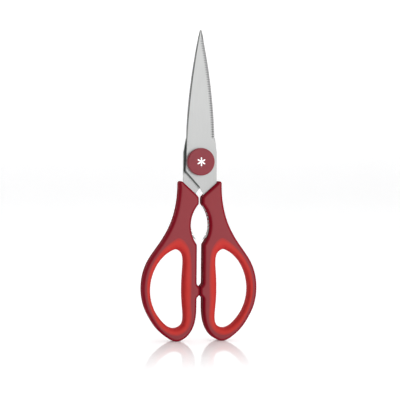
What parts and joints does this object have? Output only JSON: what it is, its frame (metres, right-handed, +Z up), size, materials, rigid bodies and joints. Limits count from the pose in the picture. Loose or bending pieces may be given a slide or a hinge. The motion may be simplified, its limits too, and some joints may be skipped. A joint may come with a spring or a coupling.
{
  "type": "poultry shears",
  "caption": "Kitchen and poultry shears with two pointed steel blades, a capped pivot, toothed jaws between the handles and soft-lined finger loops.",
  "frame": {"origin": "on the floor midway between the two finger loops, under the middle of the object's bounding box", "axes": "+X to the right seen from the capped side, +Y away from the capped side and along the pivot, +Z up from the loops to the blade tips"},
  "size_m": [0.0788, 0.012, 0.21],
  "materials": {
    "blade_steel": "satin, finely brushed along the blade",
    "pivot_steel": "turned, plain",
    "spring_steel": "blued",
    "bearing_plastic": "natural white, smooth",
    "handle_plastic": "crimson, fine satin grain",
    "grip_soft": "bright red soft-touch",
    "cap_plastic": "crimson, smooth satin",
    "emblem_metal": "polished"
  },
  "bodies": {
    "front_half": {"front_blade": "blade_steel", "right_handle_shell": "handle_plastic", "right_grip_lining": "grip_soft", "pivot_screw": "pivot_steel", "blade_washer": "bearing_plastic", "rear_washer": "pivot_steel", "spring_washer": "spring_steel", "pivot_nut": "pivot_steel", "pivot_cap": "cap_plastic", "cap_emblem": "emblem_metal"},
    "rear_half": {"rear_blade": "blade_steel", "left_handle_shell": "handle_plastic", "left_grip_lining": "grip_soft", "pivot_bush": "bearing_plastic"}
  },
  "joints": [
    {"name": "blade_pivot", "type": "hinge", "parent": "front_half", "child": "rear_half", "pos_m": [0, 0, 0.1213], "axis": [0, 1, 0], "range_deg": [0, 100]}
  ]
}
